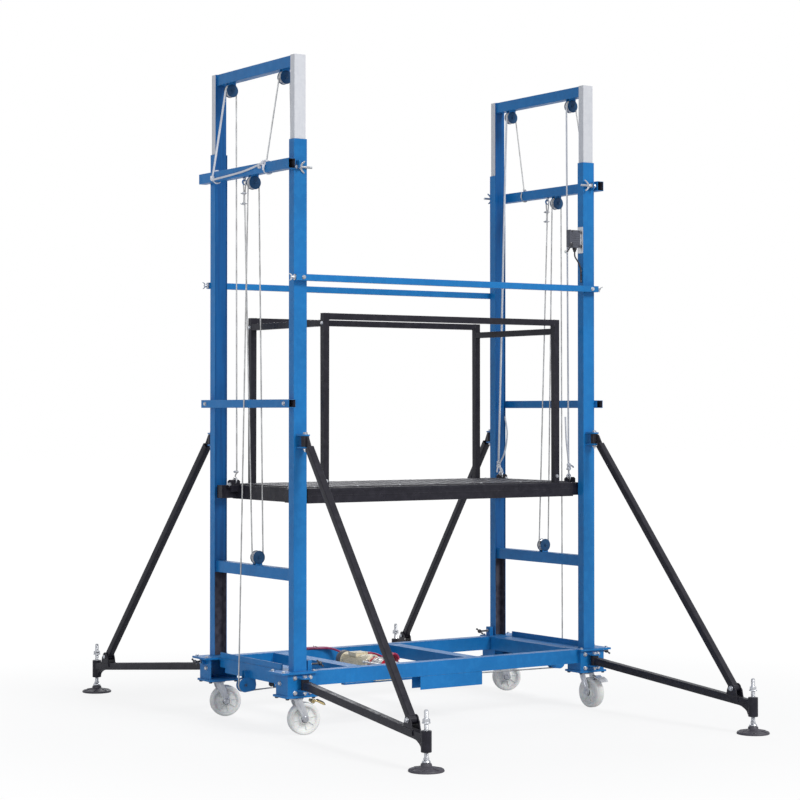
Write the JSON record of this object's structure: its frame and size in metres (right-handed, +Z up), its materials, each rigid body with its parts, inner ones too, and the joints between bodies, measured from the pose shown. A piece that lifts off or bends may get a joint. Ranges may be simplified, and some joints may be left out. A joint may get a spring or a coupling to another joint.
{
  "type": "rope-hoisted lifting scaffold",
  "caption": "Mobile lifting scaffold: telescoping end masts, guarded work platform raised by wire rope from a base winch, castors and swing-out jack outriggers.",
  "frame": {"origin": "on the floor, midway between the four mast posts", "axes": "+X from the left mast to the right mast along the platform, +Y from front to rear, +Z up"},
  "size_m": [1.7054, 2.6318, 2.6],
  "materials": {
    "blue_paint": "semi-gloss blue enamel",
    "black_paint": "semi-gloss black enamel",
    "deck_paint": "satin black, textured",
    "cream_paint": "cream enamel",
    "red_paint": "gloss red",
    "zinc_plate": "bright zinc plating",
    "wire_rope": "galvanised wire rope",
    "white_nylon": "white cast nylon",
    "grey_plastic": "dark grey moulding"
  },
  "bodies": {
    "chassis": {"base_frame": "blue_paint", "control_sleeve": "blue_paint", "hoist_motor": "cream_paint", "crossbar_middle_left": "blue_paint", "crossbar_middle_right": "blue_paint", "crossbar_upper_left": "blue_paint", "crossbar_upper_right": "blue_paint", "tie_rail_front": "blue_paint", "tie_rail_rear": "blue_paint", "limit_switch": "grey_plastic", "hoist_rope_left": "wire_rope", "hoist_rope_right": "wire_rope", "outer_post_fl": "blue_paint", "outer_post_fr": "blue_paint", "outer_post_rl": "blue_paint", "outer_post_rr": "blue_paint"},
    "mast_left": {"inner_mast_left": "blue_paint"},
    "mast_right": {"inner_mast_right": "blue_paint"},
    "platform": {"platform_frame": "black_paint", "deck_plate": "deck_paint", "guard_rail_front": "black_paint", "guard_rail_rear": "black_paint"},
    "winch_drum": {"winch_drum": "red_paint"},
    "castor_fl": {"castor_fork_fl": "zinc_plate"},
    "wheel_fl": {"castor_wheel_fl": "white_nylon"},
    "castor_fr": {"castor_fork_fr": "zinc_plate"},
    "wheel_fr": {"castor_wheel_fr": "white_nylon"},
    "castor_rl": {"castor_fork_rl": "zinc_plate"},
    "wheel_rl": {"castor_wheel_rl": "white_nylon"},
    "castor_rr": {"castor_fork_rr": "zinc_plate"},
    "wheel_rr": {"castor_wheel_rr": "white_nylon"},
    "brake_fl": {"brake_pedal_fl": "zinc_plate"},
    "brake_fr": {"brake_pedal_fr": "zinc_plate"},
    "outrigger_fl": {"outrigger_arm_fl": "black_paint", "outrigger_brace_fl": "black_paint"},
    "jack_fl": {"outrigger_jack_fl": "zinc_plate"},
    "outrigger_fr": {"outrigger_arm_fr": "black_paint", "outrigger_brace_fr": "black_paint"},
    "jack_fr": {"outrigger_jack_fr": "zinc_plate"},
    "outrigger_rl": {"outrigger_arm_rl": "black_paint", "outrigger_brace_rl": "black_paint"},
    "jack_rl": {"outrigger_jack_rl": "zinc_plate"},
    "outrigger_rr": {"outrigger_arm_rr": "black_paint", "outrigger_brace_rr": "black_paint"},
    "jack_rr": {"outrigger_jack_rr": "zinc_plate"},
    "clamp_fl": {"clamp_screw_fl": "zinc_plate"},
    "clamp_fr": {"clamp_screw_fr": "zinc_plate"},
    "clamp_rl": {"clamp_screw_rl": "zinc_plate"},
    "clamp_rr": {"clamp_screw_rr": "zinc_plate"},
    "sheave_crossbar_left": {"sheave_crossbar_left": "zinc_plate"},
    "sheave_base_left": {"sheave_base_left": "zinc_plate"},
    "sheave_mast_foot_left": {"sheave_mast_foot_left": "zinc_plate"},
    "sheave_top_front_left": {"sheave_top_front_left": "zinc_plate"},
    "sheave_top_rear_left": {"sheave_top_rear_left": "zinc_plate"},
    "sheave_crossbar_right": {"sheave_crossbar_right": "zinc_plate"},
    "sheave_base_right": {"sheave_base_right": "zinc_plate"},
    "sheave_mast_foot_right": {"sheave_mast_foot_right": "zinc_plate"},
    "sheave_top_front_right": {"sheave_top_front_right": "zinc_plate"},
    "sheave_top_rear_right": {"sheave_top_rear_right": "zinc_plate"}
  },
  "joints": [
    {"name": "mast_lift_left", "type": "slide", "parent": "chassis", "child": "mast_left", "axis": [0, 0, 1], "range_m": [-0.23, 1.2]},
    {"name": "mast_lift_right", "type": "slide", "parent": "chassis", "child": "mast_right", "axis": [0, 0, 1], "range_m": [-0.23, 1.2]},
    {"name": "platform_lift", "type": "slide", "parent": "mast_left", "child": "platform", "axis": [0, 0, 1], "range_m": [-0.23, 1.2]},
    {"name": "winch_spin", "type": "hinge", "parent": "chassis", "child": "winch_drum", "pos_m": [-0.205, -0.132, 0.212], "axis": [0, 1, 0], "continuous": true},
    {"name": "castor_swivel_fl", "type": "hinge", "parent": "chassis", "child": "castor_fl", "pos_m": [-0.71, -0.305, 0.12], "axis": [0, 0, 1], "continuous": true},
    {"name": "wheel_spin_fl", "type": "hinge", "parent": "castor_fl", "child": "wheel_fl", "pos_m": [-0.67992, -0.3125, 0.063], "axis": [0.2419, 0.9703, 0], "continuous": true},
    {"name": "castor_swivel_fr", "type": "hinge", "parent": "chassis", "child": "castor_fr", "pos_m": [0.71, -0.305, 0.12], "axis": [0, 0, 1], "continuous": true},
    {"name": "wheel_spin_fr", "type": "hinge", "parent": "castor_fr", "child": "wheel_fr", "pos_m": [0.71108, -0.33598, 0.063], "axis": [0.9994, 0.0349, 0], "continuous": true},
    {"name": "castor_swivel_rl", "type": "hinge", "parent": "chassis", "child": "castor_rl", "pos_m": [-0.71, 0.305, 0.12], "axis": [0, 0, 1], "continuous": true},
    {"name": "wheel_spin_rl", "type": "hinge", "parent": "castor_rl", "child": "wheel_rl", "pos_m": [-0.68052, 0.29542, 0.063], "axis": [0.309, 0.9511, 0], "continuous": true},
    {"name": "castor_swivel_rr", "type": "hinge", "parent": "chassis", "child": "castor_rr", "pos_m": [0.71, 0.305, 0.12], "axis": [0, 0, 1], "continuous": true},
    {"name": "wheel_spin_rr", "type": "hinge", "parent": "castor_rr", "child": "wheel_rr", "pos_m": [0.73685, 0.2895, 0.063], "axis": [0.5, 0.866, 0], "continuous": true},
    {"name": "brake_press_fl", "type": "hinge", "parent": "castor_fl", "child": "brake_fl", "pos_m": [-0.6479, -0.32048, 0.129], "axis": [0.2419, 0.9703, 0], "range_deg": [0, 18]},
    {"name": "brake_press_fr", "type": "hinge", "parent": "castor_fr", "child": "brake_fr", "pos_m": [0.71223, -0.36896, 0.129], "axis": [0.9994, 0.0349, 0], "range_deg": [0, 18]},
    {"name": "outrigger_swing_fl", "type": "hinge", "parent": "chassis", "child": "outrigger_fl", "pos_m": [-0.705, -0.365, 0.6], "axis": [0, 0, -1], "range_deg": [-40, 84]},
    {"name": "jack_travel_fl", "type": "slide", "parent": "outrigger_fl", "child": "jack_fl", "axis": [0, 0, 1], "range_m": [-0.024, 0.018]},
    {"name": "outrigger_swing_fr", "type": "hinge", "parent": "chassis", "child": "outrigger_fr", "pos_m": [0.705, -0.365, 0.6], "axis": [0, 0, 1], "range_deg": [-40, 84]},
    {"name": "jack_travel_fr", "type": "slide", "parent": "outrigger_fr", "child": "jack_fr", "axis": [0, 0, 1], "range_m": [-0.024, 0.018]},
    {"name": "outrigger_swing_rl", "type": "hinge", "parent": "chassis", "child": "outrigger_rl", "pos_m": [-0.705, 0.365, 0.6], "axis": [0, 0, 1], "range_deg": [-40, 84]},
    {"name": "jack_travel_rl", "type": "slide", "parent": "outrigger_rl", "child": "jack_rl", "axis": [0, 0, 1], "range_m": [-0.024, 0.018]},
    {"name": "outrigger_swing_rr", "type": "hinge", "parent": "chassis", "child": "outrigger_rr", "pos_m": [0.705, 0.365, 0.6], "axis": [0, 0, -1], "range_deg": [-40, 84]},
    {"name": "jack_travel_rr", "type": "slide", "parent": "outrigger_rr", "child": "jack_rr", "axis": [0, 0, 1], "range_m": [-0.024, 0.018]},
    {"name": "clamp_turn_fl", "type": "hinge", "parent": "chassis", "child": "clamp_fl", "pos_m": [-0.64, -0.31, 0.267], "axis": [1, 0, 0], "continuous": true},
    {"name": "clamp_turn_fr", "type": "hinge", "parent": "chassis", "child": "clamp_fr", "pos_m": [0.79, -0.31, 0.226], "axis": [1, 0, 0], "continuous": true},
    {"name": "clamp_turn_rl", "type": "hinge", "parent": "chassis", "child": "clamp_rl", "pos_m": [-0.79, 0.31, 0.226], "axis": [1, 0, 0], "continuous": true},
    {"name": "clamp_turn_rr", "type": "hinge", "parent": "chassis", "child": "clamp_rr", "pos_m": [0.64, 0.31, 0.267], "axis": [1, 0, 0], "continuous": true},
    {"name": "sheave_crossbar_left_spin", "type": "hinge", "parent": "chassis", "child": "sheave_crossbar_left", "pos_m": [-0.7505, -0.05, 2.129], "axis": [0, 1, 0], "continuous": true},
    {"name": "sheave_base_left_spin", "type": "hinge", "parent": "chassis", "child": "sheave_base_left", "pos_m": [-0.7505, 0.02, 0.16], "axis": [0, 1, 0], "continuous": true},
    {"name": "sheave_mast_foot_left_spin", "type": "hinge", "parent": "mast_left", "child": "sheave_mast_foot_left", "pos_m": [-0.705, -0.006, 0.66], "axis": [0, 1, 0], "continuous": true},
    {"name": "sheave_top_front_left_spin", "type": "hinge", "parent": "mast_left", "child": "sheave_top_front_left", "pos_m": [-0.705, -0.211, 2.525], "axis": [0, 1, 0], "continuous": true},
    {"name": "sheave_top_rear_left_spin", "type": "hinge", "parent": "mast_left", "child": "sheave_top_rear_left", "pos_m": [-0.705, 0.211, 2.525], "axis": [0, 1, 0], "continuous": true},
    {"name": "sheave_crossbar_right_spin", "type": "hinge", "parent": "chassis", "child": "sheave_crossbar_right", "pos_m": [0.7505, -0.054, 2.129], "axis": [0, 1, 0], "continuous": true},
    {"name": "sheave_base_right_spin", "type": "hinge", "parent": "chassis", "child": "sheave_base_right", "pos_m": [0.7505, -0.06, 0.16], "axis": [0, 1, 0], "continuous": true},
    {"name": "sheave_mast_foot_right_spin", "type": "hinge", "parent": "mast_right", "child": "sheave_mast_foot_right", "pos_m": [0.705, -0.02, 0.66], "axis": [0, 1, 0], "continuous": true},
    {"name": "sheave_top_front_right_spin", "type": "hinge", "parent": "mast_right", "child": "sheave_top_front_right", "pos_m": [0.705, -0.211, 2.525], "axis": [0, 1, 0], "continuous": true},
    {"name": "sheave_top_rear_right_spin", "type": "hinge", "parent": "mast_right", "child": "sheave_top_rear_right", "pos_m": [0.705, 0.211, 2.525], "axis": [0, 1, 0], "continuous": true}
  ],
  "couplings": [
    {"joint": "mast_lift_right", "follows": "mast_lift_left", "ratio": 1},
    {"joint": "platform_lift", "follows": "mast_lift_left", "ratio": 1},
    {"joint": "winch_spin", "follows": "mast_lift_left", "rad_per_m": -68.966},
    {"joint": "sheave_crossbar_left_spin", "follows": "mast_lift_left", "rad_per_m": -81.633},
    {"joint": "sheave_base_left_spin", "follows": "mast_lift_left", "rad_per_m": -81.633},
    {"joint": "sheave_mast_foot_left_spin", "follows": "mast_lift_left", "rad_per_m": -40.816},
    {"joint": "sheave_top_front_left_spin", "follows": "mast_lift_left", "rad_per_m": -40.816},
    {"joint": "sheave_top_rear_left_spin", "follows": "mast_lift_left", "rad_per_m": -40.816},
    {"joint": "sheave_crossbar_right_spin", "follows": "mast_lift_left", "rad_per_m": 81.633},
    {"joint": "sheave_base_right_spin", "follows": "mast_lift_left", "rad_per_m": 81.633},
    {"joint": "sheave_mast_foot_right_spin", "follows": "mast_lift_left", "rad_per_m": -40.816},
    {"joint": "sheave_top_front_right_spin", "follows": "mast_lift_left", "rad_per_m": 40.816},
    {"joint": "sheave_top_rear_right_spin", "follows": "mast_lift_left", "rad_per_m": 40.816}
  ]
}
